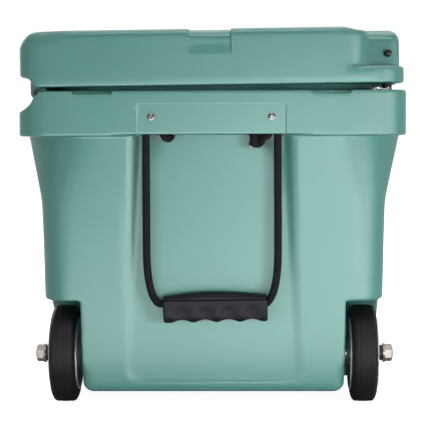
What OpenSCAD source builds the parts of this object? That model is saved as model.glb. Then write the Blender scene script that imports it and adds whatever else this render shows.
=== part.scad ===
// Wheeled rotomoulded cooler: insulated tub, hinged lid, two pull-down latches, a rope handle at
// each end, two wheels on a steel axle and a drain with a plug.
// +X is the latch side, -Y the wheel end and +Z up; z = 0 is the ground.

/* [Tub] */
// Width of the rim, hinge side to latch side
rim_w = 480; // [474:1:486]
// Length of the rim, wheel end to drain end
rim_l = 740; // [720:5:800]
// Height of the top of the rim above the ground
rim_top = 395; // [393:0.5:397]
// Height of the rim band
rim_h = 55.5; // [54:0.5:58]
// Height of the underside of the tub above the ground
base_z = 23; // [20:1:26]
// Height of the cavity floor above the ground
floor_z = 70; // [66:1:72]
// Thickness of the moulded skin
skin_t = 4.5; // [3.5:0.5:4.5]

/* [Lid] */
// Height of the lid, from its flange to its raised top
lid_h = 68.4; // [64:0.2:72]
// Height of the raised middle panel over the front border
plateau_h = 3.7; // [2:0.1:6]
// Angle at which the lid rests on its free gasket
lid_rest = 0.55; // [0.3:0.05:0.7]

/* [Wheels] */
// Diameter of the tyre
wheel_d = 123; // [119:1:125]
// Width of the tyre
tyre_w = 32; // [28:1:34]
// Diameter of the axle
axle_d = 12; // [10:0.5:12]

/* [Handles] */
// Diameter of the rope
rope_d = 9.5; // [8:0.5:10]
// Length of the grip
grip_l = 128.5; // [120:0.5:132]
// Sideways distance of each rope leg from the middle
leg_x = 81; // [80:0.5:82]

/* [Hidden] */
$fn = 64;

// Colours
skin_c = "mediumaquamarine";
foam_c = "khaki";
steel_c = "silver";
brass_c = "goldenrod";
rope_c = "dimgray";
black_c = "darkslategray";
hub_c = "gainsboro";

// Tub: half sizes at its main levels
rim_z = rim_top - rim_h;
rim_r = 40;
rim_bevel = 6;
rim_lip = 3;
flare_z = 259;
top_x = rim_w / 2 - 7;
top_y = rim_l / 2 - 18;
top_r = 80;
mid_x = 215;
mid_y = top_y - 2;
mid_r = 41;
low_x = 211.5;
low_y = top_y - 6.5;
low_r = 38;
base_round = 10;
arc_steps = 6;

// Cavity
cavity_x = 190;
cavity_y = 316;
cavity_r = 42;
cavity_draft = 18;
step_y = -183;
step_z = 168;

// End recess that the handle lies in, and the pocket behind the rim's end wall
recess_y = rim_l / 2 - 26;
recess_top_x = 98;
recess_low_x = 106;
recess_z = 35;
pocket_x = 88;
pocket_y = rim_l / 2 - 4;
pocket_z = rim_z + 35.5;
notch_x = 146;
notch_w = 49;
notch_h = 3;

// Latches
latch_y = 263;
channel_w = 60;
channel_x = 209;
latch_pivot = [219, 437];
latch_pin_r = 3;

// Hinge
hinge_x = -216;
hinge_z = rim_top - 1.4;
hinge_pin_r = 4;
knuckle_r = 9.5;
knuckle_gap = 0.8;
knuckle_ends = [-335, -235, -75, 75, 235, 335];

// Wheels and axle
axle_y = -290;
axle_z = wheel_d / 2;
wheel_x = 189.5;
well_r = 72.5;
well_x = 168.5;
well_low_x = 163;
sleeve_r = 9;
boss_in_x = wheel_x - 20.5;
boss_out_x = wheel_x + 25.2;

// Handle
screw_x = 73.6;
screw_z = 362.7;
screw_r = 3;
rope_y = rim_l / 2 - 13;
handle_pivot_z = rim_z - 14;
grip_z = 110;
grip_h = 38;
grip_seam_z = 138.5;
grip_depth = 29;
grip_rope_z = 132.6;
grip_y = recess_y + 0.7 + grip_depth / 2;
grip_corner = 4;
rope_sides = 8;

// Drain
drain_z = floor_z + 10;
drain_bore_r = 11;
drain_thread_r = 16;
drain_boss_r = 28;
drain_boss_y = 296.5;
drain_sump_r = 24;
drain_sump_y = 262;

// Rope route on one leg and through the grip: sideways, outwards and up
rope_route = [
    [leg_x, rope_y, handle_pivot_z], [leg_x, rope_y, 300], [leg_x, rope_y + 0.5, 270],
    [leg_x, rope_y + 1, 240], [leg_x, rope_y + 1.5, 210], [leg_x - 0.3, rope_y + 2, 185],
    [leg_x - 2, rope_y + 2, 165], [leg_x - 5, rope_y + 2, 150], [leg_x - 8.5, rope_y + 2, 141],
    [68, rope_y + 2, 134.6], [63.5, rope_y + 2, grip_rope_z], [54, rope_y + 2, grip_rope_z],
    [30, rope_y + 2, grip_rope_z], [0, rope_y + 2, grip_rope_z]
];
// Fixed end of the rope: from the knot over the screw and down to the lower edge of the rim
rope_end_route = [
    [66, rope_y, 352.5], [65.7, rope_y, screw_z], [68, rope_y, screw_z + 5.6],
    [screw_x, rope_y, screw_z + 7.9], [leg_x - 1.8, rope_y, screw_z + 5.6],
    [leg_x, rope_y, screw_z], [leg_x, rope_y, 350], [leg_x, rope_y, handle_pivot_z + 7.5]
];
// Where the two knots of each handle sit, and their sizes
knot_places = [[-62, rope_y - 1.5, 341], [58, rope_y - 1.5, 337.5]];
knot_sizes = [10, 11];

// ---------------------------------------------------------------- shared shapes

// Ring of points of a rounded rectangle, counter-clockwise, at one height
function ring(x, y, r, z) = [
    for (q = [0:3], i = [0:arc_steps])
        let (a = 90 * q + 90 * i / arc_steps, sx = (q == 0 || q == 3) ? 1 : -1, sy = q < 2 ? 1 : -1)
            [sx * (x - r) + r * cos(a), sy * (y - r) + r * sin(a), z]
];

// Closed solid through rings that all have the same number of points
module loft(rings) {
    n = len(rings[0]);
    top = (len(rings) - 1) * n;
    polyhedron(
        points = [for (r = rings) each r],
        faces = concat(
            [[for (i = [0:n - 1]) i]],
            [for (k = [0:n:top - n], i = [0:n - 1]) [k + i, k + n + i, k + n + (i + 1) % n]],
            [for (k = [0:n:top - n], i = [0:n - 1]) [k + i, k + n + (i + 1) % n, k + (i + 1) % n]],
            [[for (i = [n - 1:-1:0]) top + i]]));
}

// Round tube through points of a route that lies nearly in an XZ plane
function route_dir(p, i) =
    let (a = p[max(i - 1, 0)], b = p[min(i + 1, len(p) - 1)], d = [b.x - a.x, 0, b.z - a.z]) d / norm(d);
function tube_ring(p, i, r) =
    let (d = route_dir(p, i), side = [d.z, 0, -d.x])
        [for (k = [0:rope_sides - 1])
            let (a = 360 * k / rope_sides) p[i] + r * (cos(a) * side + sin(a) * [0, 1, 0])];
module tube(p, r) loft([for (i = [0:len(p) - 1]) tube_ring(p, i, r)]);

function reversed(p) = [for (i = [len(p) - 1:-1:0]) p[i]];
function flip_x(p) = [for (q = p) [-q.x, q.y, q.z]];
// The whole moving rope: up one leg, through the grip and down the other
whole_rope = concat(rope_route, reversed(flip_x([for (i = [0:len(rope_route) - 2]) rope_route[i]])));

// Bar along Y with an XZ outline, between two places on Y
module bar_y(points, y0, y1) translate([0, y1, 0]) rotate([90, 0, 0]) linear_extrude(y1 - y0) polygon(points);
// Cylinder along Y or X
module rod_y(r, y0, y1, x, z) translate([x, y1, z]) rotate([90, 0, 0]) cylinder(h = y1 - y0, r = r);
module rod_x(r, x0, x1, y, z) translate([x0, y, z]) rotate([0, 90, 0]) cylinder(h = x1 - x0, r = r);
module box(x0, x1, y0, y1, z0, z1) translate([x0, y0, z0]) cube([x1 - x0, y1 - y0, z1 - z0]);
// Shape for the wheel end, drawn for the drain end, repeated at both ends
module both_ends() {
    children();
    mirror([0, 1, 0]) children();
}
module wheel_end() mirror([0, 1, 0]) children();
module both_sides() {
    children();
    mirror([1, 0, 0]) children();
}
// Places a shape made round the origin at each latch
module at_latches() for (s = [-1, 1]) translate([0, s * latch_y, 0]) children();

// ---------------------------------------------------------------- tub

// Outer form of the tub, drawn in by e
module tub_form(e) loft([
    ring(low_x - 7 - e, low_y - 7 - e, low_r - 7 - e, base_z + e),
    ring(low_x - e, low_y - e, low_r - e, base_z + base_round),
    ring(mid_x - e, mid_y - e, mid_r - e, flare_z),
    ring(top_x - e, top_y - e, top_r - e, rim_z + e),
    ring(rim_w / 2 - rim_lip - e, rim_l / 2 - rim_lip - e, rim_r - rim_lip - e, rim_z + e),
    ring(rim_w / 2 - e, rim_l / 2 - e, rim_r - e, rim_z + rim_lip + e),
    ring(rim_w / 2 - e, rim_l / 2 - e, rim_r - e, rim_top - rim_bevel - e / 2),
    ring(rim_w / 2 - rim_bevel - e, rim_l / 2 - rim_bevel - e, rim_r - rim_bevel - e, rim_top - e)
]);

// Sump in the cavity floor that the drain's nut turns in, grown by e
module drain_sump(e) rod_y(drain_sump_r + e, drain_sump_y - e, drain_boss_y, 0, drain_z);

// Cavity, grown by e, with the raised step over the axle
module cavity(e) difference() {
    loft([
        ring(cavity_x - cavity_draft - 8 + e, cavity_y - cavity_draft - 8 + e, cavity_r - 12 + e,
             floor_z - e),
        ring(cavity_x - cavity_draft + e, cavity_y - cavity_draft + e, cavity_r - 6 + e, floor_z + 8),
        ring(cavity_x + e, cavity_y + e, cavity_r + e, rim_top + 5)
    ]);
    box(-250, 250, -400, step_y - e, floor_z - 20, step_z - e);
}

// Wheel well, grown by e: an arch round the wheel, open to the end, with a drafted inner wall
module well(e) intersection() {
    translate([well_low_x - 10, axle_y, axle_z]) rotate([90, 0, 90]) linear_extrude(120) {
        circle(well_r + e);
        translate([-120, -100]) square([120, 100 + well_r + e]);
    }
    bar_y([[well_x - e, rim_z], [well_low_x - e, 0], [270, 0], [270, rim_z]], -400, -180);
}

// Relief along the hinge side of the rim, moved in by e
module hinge_relief(e) translate([e, 0, -e]) bar_y([
    [-260, 369.5], [-240, 370.5], [-226.5, 375.5], [-221, 381.4], [-214.1, rim_top], [-213.5, 410], [-260, 410]
], -400, 400);

// Room for the lid's knuckles, grown by e
module knuckle_room(e) for (i = [0, 2, 4]) {
    y0 = knuckle_ends[i] - (i == 0 ? 10 : 0) + 0.01;
    y1 = knuckle_ends[i + 1] + (i == 4 ? 10 : 0) - 0.01;
    rod_y(knuckle_r + knuckle_gap + e, y0 - e, y1 + e, hinge_x, hinge_z);
    box(-270, hinge_x, y0 - e, y1 + e, hinge_z - 10 - e, rim_top + 10);
}

// Everything that is taken out of the tub, grown by e
module tub_cuts(e) {
    cavity(e);
    drain_sump(e);
    both_sides() well(e);
    hinge_relief(e);
    knuckle_room(e);
    at_latches()
        box(channel_x - e, 260, -channel_w / 2 - 1 - e, channel_w / 2 + 1 + e, rim_z - e, rim_top + 10);
    both_ends() {
        bar_y([[-recess_low_x - e, recess_z - e], [recess_low_x + e, recess_z - e],
               [recess_top_x + e, rim_z], [-recess_top_x - e, rim_z]], recess_y - e, 400);
        box(-pocket_x - e, pocket_x + e, recess_y - e, pocket_y + e, rim_z - 1, pocket_z + e);
    }
}

module tub_knuckles() for (i = [1, 3]) {
    y0 = knuckle_ends[i] + 0.5;
    y1 = knuckle_ends[i + 1] - 0.5;
    rod_y(knuckle_r, y0, y1, hinge_x, hinge_z);
    box(hinge_x - knuckle_r, hinge_x + knuckle_r, y0, y1, 374, hinge_z);
}

foot_x = 150;
foot_y = 290;
foot_screw_x = 26;
foot_screw_r = 2.4;
pad_t = 6;
// Places a shape at each screw of the foot on the latch side
module at_foot_screws() for (s = [-1, 1]) translate([foot_x + s * foot_screw_x, foot_y, 0]) children();

keeper_screw_y = 16;
keeper_screw_z = 362;
keeper_screw_r = 2;
// Places a shape at each screw of the two keeper plates
module at_keeper_screws() at_latches()
    for (s = [-1, 1]) translate([0, s * keeper_screw_y, keeper_screw_z]) children();

// Block that the pad is screwed under, and a flat outline with rounded corners
module foot_block() translate([0, 0, pad_t]) linear_extrude(base_z + 4) plate(84, 56, 12);
module plate(w, l, r) {
    square([w, l - 2 * r], center = true);
    square([w - 2 * r, l], center = true);
    for (sx = [-1, 1], sy = [-1, 1]) translate([sx * (w / 2 - r), sy * (l / 2 - r)]) circle(r);
}

fill_places = [[-120, 60], [120, 60]];
fill_r = 14;
insert_r = 5;
module tub_foam_form() difference() {
    tub_form(skin_t);
    tub_cuts(skin_t);
    rod_x(sleeve_r, -200, 200, axle_y, axle_z);
    rod_y(drain_thread_r, 280, 400, 0, drain_z);
    both_ends() both_sides() rod_y(insert_r, 320, 400, screw_x, screw_z);
}

module tub_skin() color(skin_c) difference() {
    union() {
        difference() {
            tub_form(0);
            tub_cuts(0);
            both_ends() both_sides() box(notch_x - notch_w / 2, notch_x + notch_w / 2, rim_l / 2 - 20,
                                         400, rim_top - notch_h, rim_top + 5);
        }
        tub_knuckles();
        both_sides() translate([foot_x, foot_y, 0]) foot_block();
        rod_y(drain_boss_r, drain_boss_y, 320, 0, drain_z);
    }
    difference() {
        tub_foam_form();
        rod_y(drain_boss_r, 280, 321, 0, drain_z);
    }
    rod_x(sleeve_r, -200, 200, axle_y, axle_z);
    rod_y(drain_thread_r, 280, 400, 0, drain_z);
    rod_y(hinge_pin_r + 0.02, -400, 400, hinge_x, hinge_z);
    both_ends() both_sides() {
        rod_y(insert_r, 320, 350, screw_x, screw_z);
        rod_y(screw_r + 0.1, 350, 400, screw_x, screw_z);
    }
    for (p = fill_places) translate([p.x, p.y, 0])
        cylinder(h = base_z + skin_t + 0.5, r = fill_r);
    both_sides() at_foot_screws() cylinder(h = 20, r = foot_screw_r + 0.1);
    at_keeper_screws() rod_x(keeper_screw_r, 195, 230, 0, 0);
}

module tub_foam() color(foam_c) difference() {
    tub_foam_form();
    rod_y(drain_boss_r, 280, 321, 0, drain_z);
    at_keeper_screws() rod_x(keeper_screw_r, 195, 230, 0, 0);
}

module tub_fill_plugs() color(skin_c) for (p = fill_places) translate([p.x, p.y, base_z]) {
    cylinder(h = skin_t, r = fill_r - 0.1);
    translate([0, 0, -1.5]) cylinder(h = 1.5, r = fill_r + 3);
}

// ---------------------------------------------------------------- axle and wheels

sleeve_half = boss_in_x - 4.3;
axle_half = boss_out_x + 15.8;
washer_r = 12;
nut_r = 10.97;
nut_h = 11;
module axle_bore(clearance, x0, x1) rod_x(axle_d / 2 + clearance, x0, x1, axle_y, axle_z);
module axle_sleeve() color(steel_c) difference() {
    rod_x(sleeve_r, -sleeve_half, sleeve_half, axle_y, axle_z);
    axle_bore(0.05, -180, 180);
}
module axle() color(steel_c) axle_bore(0, -axle_half, axle_half);
module axle_washers() color(steel_c) both_sides() {
    for (x = [[boss_in_x - 3.3, boss_in_x - 0.3], [boss_out_x + 0.4, boss_out_x + 2.9]]) difference() {
        rod_x(washer_r, x[0], x[1], axle_y, axle_z);
        axle_bore(0.02, x[0] - 1, x[1] + 1);
    }
}
module axle_nuts() color(steel_c) both_sides() difference() {
    translate([boss_out_x + 3, axle_y, axle_z]) rotate([0, 90, 0]) cylinder(h = nut_h, r = nut_r, $fn = 6);
    axle_bore(0.02, 200, 240);
}

tyre_t = 15.5;
tyre_in_r = wheel_d / 2 - tyre_t;
tyre_round = 5;
module tyre() translate([wheel_x, axle_y, axle_z]) rotate([0, 90, 0]) rotate_extrude() {
    translate([tyre_in_r, -tyre_w / 2 + tyre_round]) square([tyre_t, tyre_w - 2 * tyre_round]);
    translate([tyre_in_r, -tyre_w / 2]) square([tyre_t - tyre_round, tyre_w]);
    for (s = [-1, 1]) translate([wheel_d / 2 - tyre_round, s * (tyre_w / 2 - tyre_round)])
        circle(tyre_round);
}
hub_rim_t = 7;
hub_web_t = 10;
hub_boss_t = 5;
hub_hole_r = 6.5;
hub_hole_ring = 27;
bush_r = 10;
bush_l = 14;
module hub() difference() {
    translate([0, axle_y, axle_z]) rotate([0, 90, 0]) rotate_extrude() {
        translate([tyre_in_r - hub_rim_t, wheel_x - tyre_w / 2 - 2]) square([hub_rim_t, tyre_w + 4]);
        translate([bush_r + 2, wheel_x - hub_web_t / 2]) square([tyre_in_r - bush_r - 2, hub_web_t]);
        translate([bush_r + 0.02, boss_in_x + 2]) square([hub_boss_t, boss_out_x - boss_in_x - 4]);
    }
    for (a = [0:60:300]) translate([wheel_x, axle_y, axle_z]) rotate([a, 0, 0])
        translate([0, 0, hub_hole_ring]) rotate([0, 90, 0]) cylinder(h = 20, r = hub_hole_r, center = true);
}
module bushes() for (x = [boss_in_x, boss_out_x - bush_l]) difference() {
    rod_x(bush_r, x, x + bush_l, axle_y, axle_z);
    axle_bore(0.05, x - 1, x + bush_l + 1);
}
module front_tyre() color(black_c) tyre();
module back_tyre() color(black_c) mirror([1, 0, 0]) tyre();
module front_hub() color(hub_c) hub();
module back_hub() color(hub_c) mirror([1, 0, 0]) hub();
module front_bushes() color(black_c) bushes();
module back_bushes() color(black_c) mirror([1, 0, 0]) bushes();

// ---------------------------------------------------------------- fittings on the tub

pin_end_y = 337;
module hinge_pin() color(steel_c) rod_y(hinge_pin_r, -pin_end_y, pin_end_y, hinge_x, hinge_z);
module hinge_pin_caps() color(steel_c) both_ends() difference() {
    rod_y(hinge_pin_r + 1.5, pin_end_y - 1.6, pin_end_y + 2, hinge_x, hinge_z);
    rod_y(hinge_pin_r, pin_end_y - 7, pin_end_y, hinge_x, hinge_z);
}

keeper_t = 2;
keeper_half = 24;
keeper_z = [352, 382];
module keeper_plates() color(steel_c) difference() {
    at_latches() {
        box(channel_x, channel_x + keeper_t, -keeper_half, keeper_half, keeper_z[0], keeper_z[1]);
        box(channel_x, channel_x + 5, -keeper_half, keeper_half, keeper_z[1] - keeper_t, keeper_z[1]);
    }
    at_keeper_screws() rod_x(keeper_screw_r + 0.1, 200, 230, 0, 0);
}
module keeper_screws() color(steel_c) at_keeper_screws() {
    rod_x(keeper_screw_r, 196, channel_x + keeper_t, 0, 0);
    rod_x(3.5, channel_x + keeper_t, channel_x + 4, 0, 0);
}

lock_place = [206, 335];
lock_t = 1.5;
lock_screw_step = [-3, 10];
// Places a shape on the rim's top at each screw of the two lock plates
module at_lock_screws() both_ends() for (s = [-1, 1])
    translate([lock_place.x + lock_screw_step.x, lock_place.y + s * lock_screw_step.y, rim_top]) children();
module lock_plates() color(steel_c) difference() {
    both_ends() {
        translate([lock_place.x, lock_place.y, rim_top]) linear_extrude(lock_t) plate(26, 36, 5);
        box(216, 218, lock_place.y - 12, lock_place.y + 12, rim_top, rim_top + 3.5);
    }
    at_lock_screws() translate([0, 0, -5]) cylinder(h = 20, r = 2.1);
}
module lock_screws() color(steel_c) at_lock_screws() translate([0, 0, lock_t]) cylinder(h = 1.6, r = 4);

module handle_inserts() color(brass_c) both_ends() both_sides() difference() {
    rod_y(insert_r - 0.02, 322, recess_y, screw_x, screw_z);
    rod_y(screw_r + 0.02, 300, 400, screw_x, screw_z);
}
module end_screws() both_sides() {
    rod_y(screw_r, 324, rim_l / 2, screw_x, screw_z);
    rod_y(screw_r + 2, rim_l / 2, rim_l / 2 + 3, screw_x, screw_z);
}
module wheel_end_screws() color(steel_c) wheel_end() end_screws();
module drain_end_screws() color(steel_c) end_screws();

module foot_pads() color(black_c) both_sides() difference() {
    translate([foot_x, foot_y, 0]) linear_extrude(pad_t) plate(78, 50, 10);
    at_foot_screws() translate([0, 0, -1]) {
        cylinder(h = 10, r = foot_screw_r + 0.2);
        cylinder(h = 4, r = 5);
    }
}
module foot_screws() color(steel_c) both_sides() at_foot_screws() translate([0, 0, 1]) {
    cylinder(h = 18, r = foot_screw_r);
    cylinder(h = 2, r = 4.6);
}

// ---------------------------------------------------------------- drain

gasket_t = 2.5;
plug_cap_y = recess_y + 7.3;
plug_grip_r = 15;
ring_groove = [310, 313];
module drain_fitting() color(black_c) difference() {
    union() {
        rod_y(drain_thread_r - 0.1, 281, recess_y + gasket_t, 0, drain_z);
        rod_y(23, recess_y + gasket_t, recess_y + 7, 0, drain_z);
    }
    rod_y(drain_bore_r, 270, 400, 0, drain_z);
}
module drain_gasket() color(black_c) difference() {
    rod_y(21, recess_y, recess_y + gasket_t, 0, drain_z);
    rod_y(drain_thread_r, 330, 400, 0, drain_z);
}
module drain_nut() color(black_c) difference() {
    translate([0, drain_boss_y - 0.1, drain_z]) rotate([90, 0, 0]) cylinder(h = 7, r = 22, $fn = 8);
    rod_y(drain_thread_r, 270, 330, 0, drain_z);
}
module drain_plug() color(black_c) difference() {
    union() {
        rod_y(drain_bore_r - 0.5, 300, plug_cap_y, 0, drain_z);
        rod_y(plug_grip_r, plug_cap_y, recess_y + 18, 0, drain_z);
        for (a = [0:30:330]) translate([0, 0, drain_z]) rotate([0, a, 0])
            rod_y(2, plug_cap_y, recess_y + 17, 0, plug_grip_r);
    }
    difference() {
        rod_y(drain_bore_r, ring_groove[0], ring_groove[1], 0, drain_z);
        rod_y(drain_bore_r - 2.35, ring_groove[0] - 1, ring_groove[1] + 1, 0, drain_z);
    }
    rod_y(6, 290, 309, 0, drain_z);
}
module drain_o_ring() color(black_c) translate([0, (ring_groove[0] + ring_groove[1]) / 2, drain_z])
    rotate([90, 0, 0]) rotate_extrude() translate([drain_bore_r - 1.3, 0]) circle(1);

// ---------------------------------------------------------------- handles

module rope_ends() both_sides() tube(rope_end_route, rope_d / 2);
module wheel_end_rope_ends() color(rope_c) wheel_end() rope_ends();
module drain_end_rope_ends() color(rope_c) rope_ends();
module knots() for (i = [0, 1]) translate(knot_places[i]) sphere(knot_sizes[i]);
module wheel_end_knots() color(rope_c) wheel_end() knots();
module drain_end_knots() color(rope_c) knots();

module wheel_end_rope() color(rope_c) wheel_end() tube(whole_rope, rope_d / 2);
module drain_end_rope() color(rope_c) tube(whole_rope, rope_d / 2);

finger_pitch = 29.3;
finger_r = 15;
finger_depth = 4.5;
grip_mid_z = grip_z + grip_depth / 2;
// Lower half of the grip: a rounded bar with four hollows for the fingers and a hole for the rope
module grip() difference() {
    translate([-grip_l / 2, grip_y, 0]) rotate([90, 0, 90]) linear_extrude(grip_l) {
        translate([0, grip_mid_z]) circle(grip_depth / 2 - 0.6);
        translate([-grip_depth / 2, grip_mid_z]) square([grip_depth, grip_seam_z - grip_mid_z]);
    }
    for (i = [-1.5:1:1.5])
        rod_y(finger_r, 320, 400, i * finger_pitch, grip_z - finger_r + finger_depth);
    rod_x(rope_d / 2 + 0.3, -100, 100, rope_y + 2, grip_rope_z);
}
// Upper half of the grip, which closes over the rope
module grip_cover() {
    corner_z = grip_seam_z + grip_corner;
    translate([-grip_l / 2, grip_y, 0]) rotate([90, 0, 90]) linear_extrude(grip_l) {
        translate([-grip_depth / 2, grip_seam_z]) square([grip_depth, grip_corner]);
        translate([-grip_depth / 2 + grip_corner, corner_z])
            square([grip_depth - 2 * grip_corner, grip_z + grip_h - corner_z]);
        intersection() {
            for (s = [-1, 1]) translate([s * (grip_depth / 2 - grip_corner), corner_z]) circle(grip_corner);
            translate([-grip_depth, grip_seam_z]) square([2 * grip_depth, grip_h]);
        }
    }
}
module wheel_end_grip() color(black_c) wheel_end() grip();
module drain_end_grip() color(black_c) grip();
module wheel_end_grip_cover() color(black_c) wheel_end() grip_cover();
module drain_end_grip_cover() color(black_c) grip_cover();

// ---------------------------------------------------------------- lid

// The lid is drawn shut and then turned up about its hinge to where it rests on its gasket
lid_z = rim_top + 4.6;
ledge_z = lid_z + 20;
lid_back_x = -237;
lid_front_x = 236;
main_front_x = 193;
ear_front_x = 232;
ear_y = 315;
border_z = lid_z + lid_h - plateau_h;
plug_z = lid_z - 14;
module at_rest() translate([hinge_x, 0, hinge_z]) rotate([0, -lid_rest, 0])
    translate([-hinge_x, 0, -hinge_z]) children();

// Block between two places on X, rounded in plan, from z0 to z1 with its top edge bevelled
module lid_block(x0, x1, y, r, z0, z1, bevel) translate([(x0 + x1) / 2, 0, 0]) loft([
    ring((x1 - x0) / 2, y, r, z0),
    ring((x1 - x0) / 2, y, r, z1 - bevel),
    ring((x1 - x0) / 2 - bevel * 0.3, y - bevel * 0.3, r - bevel * 0.3, z1 - bevel * 0.3),
    ring((x1 - x0) / 2 - bevel, y - bevel, r - bevel, z1)
]);

// Outer form of the lid, drawn in by e
module lid_form(e) {
    lid_block(lid_back_x + e, main_front_x - e, rim_l / 2 - e, 30, lid_z + e, border_z - e, 10);
    lid_block(lid_back_x + 4 + e, 165 - e, rim_l / 2 - 4 - e, 28, lid_z + e + 30,
              border_z + plateau_h - e, 5);
    lid_block(lid_front_x - 100, lid_front_x - e, rim_l / 2 - e, 38, lid_z + e, ledge_z - e, 3);
    lid_block(main_front_x - 60, ear_front_x - e, ear_y - e, 8, lid_z + e, border_z - e, 7);
    lid_block(-184 + e, 184 - e, 310 - e, 36, plug_z + e, lid_z + 10, 1);
}

// Everything that is taken out of the lid, grown by e
module lid_cuts(e) {
    at_latches() box(channel_x - 1 - e, 260, -channel_w / 2 - e, channel_w / 2 + e, lid_z - 20, 500);
    translate([e, 0, e]) bar_y([
        [-260, 380], [hinge_x, 380], [-216.6, lid_z], [-222, 408.6], [-237.5, 416], [-260, 426.7]
    ], -400, 400);
    for (i = [1, 3]) {
        y0 = knuckle_ends[i] - e;
        y1 = knuckle_ends[i + 1] + e;
        rod_y(knuckle_r + knuckle_gap + e, y0, y1, hinge_x, hinge_z);
        box(-260, hinge_x, y0, y1, 380, 409.8 + e);
    }
}

module lid_foam_form() difference() {
    lid_form(skin_t);
    lid_cuts(skin_t);
    translate([0, 0, plug_z]) cylinder(h = 6, r = fill_r);
}

gasket_in = [193, 319];
gasket_w = 9;
gasket_r = 45;
module gasket_ring(z0, z1) difference() {
    translate([0, 0, z0]) linear_extrude(z1 - z0)
        plate(2 * (gasket_in.x + gasket_w), 2 * (gasket_in.y + gasket_w), gasket_r + gasket_w);
    translate([0, 0, z0 - 1]) linear_extrude(z1 - z0 + 2)
        plate(2 * gasket_in.x, 2 * gasket_in.y, gasket_r);
}

// Holes across each latch channel for the latch pins, with a clearance all round
module pin_holes(clearance) for (s = [-1, 1])
    rod_y(latch_pin_r + clearance, s * latch_y - 53, s * latch_y + 53, latch_pivot.x, latch_pivot.y);

module lid_skin() color(skin_c) difference() {
    at_rest() difference() {
        union() {
            difference() {
                lid_form(0);
                lid_cuts(0);
            }
            for (i = [0, 2, 4]) {
                y0 = knuckle_ends[i] + (i == 0 ? 0 : 0.5);
                y1 = knuckle_ends[i + 1] - (i == 4 ? 0 : 0.5);
                rod_y(knuckle_r, y0, y1, hinge_x, hinge_z);
                box(hinge_x - knuckle_r, hinge_x + knuckle_r, y0, y1, hinge_z, 412);
            }
        }
        lid_foam_form();
        rod_y(hinge_pin_r + 0.05, -400, 400, hinge_x, hinge_z);
        translate([0, 0, plug_z - 1]) cylinder(h = skin_t + 1.5, r = fill_r);
        pin_holes(0.02);
        box(-33, 24, -400, 400, border_z + plateau_h - 1.5, 500);
    }
    gasket_ring(rim_top, rim_top + 8);
}
module lid_foam() color(foam_c) difference() {
    at_rest() difference() {
        lid_foam_form();
        pin_holes(3);
    }
    gasket_ring(rim_top, rim_top + 12);
}
module lid_fill_plug() color(skin_c) at_rest() translate([0, 0, plug_z])
    cylinder(h = skin_t + 0.4, r = fill_r - 0.1);
module lid_gasket() color(black_c) gasket_ring(rim_top + 0.4, rim_top + 7.9);
module latch_pins() color(steel_c) at_rest() for (s = [-1, 1]) mirror([0, s < 0 ? 1 : 0, 0]) {
    rod_y(latch_pin_r, latch_y - 50, ear_y, latch_pivot.x, latch_pivot.y);
    rod_y(5.5, ear_y, ear_y + 3, latch_pivot.x, latch_pivot.y);
}

latch_w = 38;
module latch() at_rest() difference() {
    union() {
        rod_y(8, -channel_w / 2 + 1, channel_w / 2 - 1, latch_pivot.x, latch_pivot.y);
        box(217, 226.5, -latch_w / 2, latch_w / 2, 360, latch_pivot.y);
        box(217, 238, -28, 28, 346, 366);
        box(215.3, 218, -latch_w / 2, latch_w / 2, 370, 375);
    }
    rod_y(13, -22, 22, 241, 352);
    rod_y(latch_pin_r + 0.05, -40, 40, latch_pivot.x, latch_pivot.y);
}
module wheel_end_latch() color(black_c) translate([0, -latch_y, 0]) latch();
module drain_end_latch() color(black_c) translate([0, latch_y, 0]) latch();

tub_skin();
tub_foam();
tub_fill_plugs();
axle_sleeve();
axle();
axle_washers();
axle_nuts();
hinge_pin();
hinge_pin_caps();
keeper_plates();
keeper_screws();
lock_plates();
lock_screws();
handle_inserts();
wheel_end_screws();
drain_end_screws();
wheel_end_rope_ends();
drain_end_rope_ends();
wheel_end_knots();
drain_end_knots();
foot_pads();
foot_screws();
drain_fitting();
drain_gasket();
drain_nut();
drain_plug();
drain_o_ring();
lid_skin();
lid_foam();
lid_fill_plug();
lid_gasket();
latch_pins();
wheel_end_latch();
drain_end_latch();
front_tyre();
front_hub();
front_bushes();
back_tyre();
back_hub();
back_bushes();
wheel_end_rope();
wheel_end_grip();
wheel_end_grip_cover();
drain_end_rope();
drain_end_grip();
drain_end_grip_cover();
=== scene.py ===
import math
from concurrent.futures import ThreadPoolExecutor

import bpy
import numpy as np
import openvdb
from mathutils import Matrix, Vector


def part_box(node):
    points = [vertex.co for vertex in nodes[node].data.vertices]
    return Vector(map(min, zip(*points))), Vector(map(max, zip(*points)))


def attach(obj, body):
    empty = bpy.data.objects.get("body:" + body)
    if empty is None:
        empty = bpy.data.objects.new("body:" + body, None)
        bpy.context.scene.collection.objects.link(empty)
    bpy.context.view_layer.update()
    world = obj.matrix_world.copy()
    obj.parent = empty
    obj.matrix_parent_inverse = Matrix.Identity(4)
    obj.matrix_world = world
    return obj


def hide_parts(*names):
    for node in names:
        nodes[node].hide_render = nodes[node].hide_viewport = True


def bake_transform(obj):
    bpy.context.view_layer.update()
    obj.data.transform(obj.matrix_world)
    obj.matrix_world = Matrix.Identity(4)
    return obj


# Looks of the wheeled cooler. Shapes are written as distances in millimetres and meshed in metres.
# +X is the latch side, -Y the wheel end and +Z up.

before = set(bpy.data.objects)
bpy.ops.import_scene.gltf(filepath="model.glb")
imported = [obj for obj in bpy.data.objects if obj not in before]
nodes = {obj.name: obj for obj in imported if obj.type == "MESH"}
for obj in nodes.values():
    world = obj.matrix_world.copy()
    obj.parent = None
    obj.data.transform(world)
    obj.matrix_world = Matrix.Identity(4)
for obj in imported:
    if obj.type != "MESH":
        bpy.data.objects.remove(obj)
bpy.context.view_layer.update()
MM = 0.001
scene = bpy.context.scene
scene.view_settings.view_transform = "Standard"


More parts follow.
